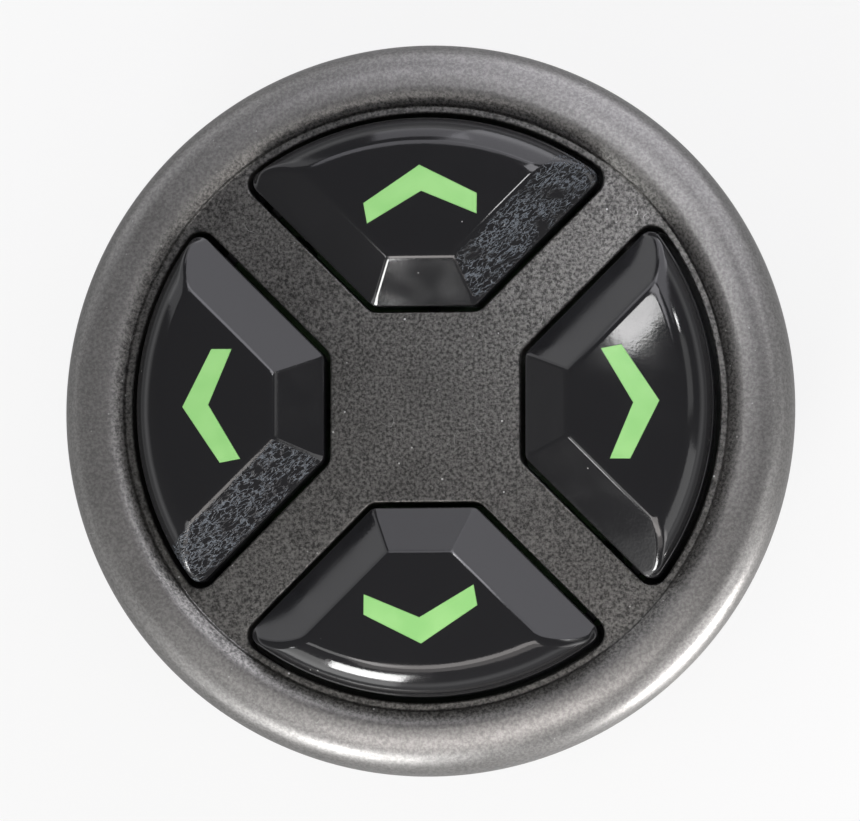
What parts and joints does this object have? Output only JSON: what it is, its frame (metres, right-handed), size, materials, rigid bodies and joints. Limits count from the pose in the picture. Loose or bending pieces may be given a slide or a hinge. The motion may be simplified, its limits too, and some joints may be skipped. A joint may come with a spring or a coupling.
{
  "type": "four-way push-button pad",
  "caption": "Round panel-mounted push-button pad with faceted keys and chevron legends set around a dished bezel, clamped from behind by a ring nut.",
  "frame": {"origin": "centre of the rear housing's flat rear face", "axes": "+Z out of the panel towards the user, +Y towards the up key, +X towards the right key"},
  "size_m": [0.04, 0.04, 0.0175],
  "materials": {
    "bezel_paint": "fine-grained satin, dark warm grey",
    "gloss_black": "gloss, with fine scratches",
    "legend_green": "translucent light green",
    "housing_black": "matt, moulded",
    "seal_rubber": "matt",
    "silicone_grey": "satin silicone",
    "carbon": "matt, conductive",
    "board_green": "solder mask",
    "gold": "plated",
    "steel": "zinc-plated",
    "tin": "tin-plated",
    "connector_white": "natural nylon",
    "led_white": "white package",
    "resistor_black": "matt ceramic"
  },
  "bodies": {
    "base": {"front_bezel": "bezel_paint", "panel_gasket": "seal_rubber", "keypad_mat": "silicone_grey", "circuit_board": "board_green", "connector_shell": "connector_white", "rear_housing": "housing_black", "ring_nut": "housing_black", "dome_up": "silicone_grey", "contact_pad_up": "gold", "led_up": "led_white", "dome_left": "silicone_grey", "contact_pad_left": "gold", "led_left": "led_white", "dome_down": "silicone_grey", "contact_pad_down": "gold", "led_down": "led_white", "dome_right": "silicone_grey", "contact_pad_right": "gold", "led_right": "led_white", "connector_pin_1": "tin", "connector_pin_2": "tin", "connector_pin_3": "tin", "connector_pin_4": "tin", "connector_pin_5": "tin", "connector_pin_6": "tin", "resistor_1": "resistor_black", "housing_screw_1": "steel", "resistor_2": "resistor_black", "housing_screw_2": "steel", "resistor_3": "resistor_black", "housing_screw_3": "steel", "resistor_4": "resistor_black", "housing_screw_4": "steel"},
    "key_up_body": {"key_up": "gloss_black", "legend_up": "legend_green", "contact_pill_up": "carbon"},
    "key_left_body": {"key_left": "gloss_black", "legend_left": "legend_green", "contact_pill_left": "carbon"},
    "key_down_body": {"key_down": "gloss_black", "legend_down": "legend_green", "contact_pill_down": "carbon"},
    "key_right_body": {"key_right": "gloss_black", "legend_right": "legend_green", "contact_pill_right": "carbon"}
  },
  "joints": [
    {"name": "press_up", "type": "slide", "parent": "base", "child": "key_up_body", "axis": [0, 0, -1], "range_m": [0, 0.001], "stiffness_N_per_m": 1500, "deforming": ["dome_up"]},
    {"name": "press_left", "type": "slide", "parent": "base", "child": "key_left_body", "axis": [0, 0, -1], "range_m": [0, 0.001], "stiffness_N_per_m": 1500, "deforming": ["dome_left"]},
    {"name": "press_down", "type": "slide", "parent": "base", "child": "key_down_body", "axis": [0, 0, -1], "range_m": [0, 0.001], "stiffness_N_per_m": 1500, "deforming": ["dome_down"]},
    {"name": "press_right", "type": "slide", "parent": "base", "child": "key_right_body", "axis": [0, 0, -1], "range_m": [0, 0.001], "stiffness_N_per_m": 1500, "deforming": ["dome_right"]}
  ]
}
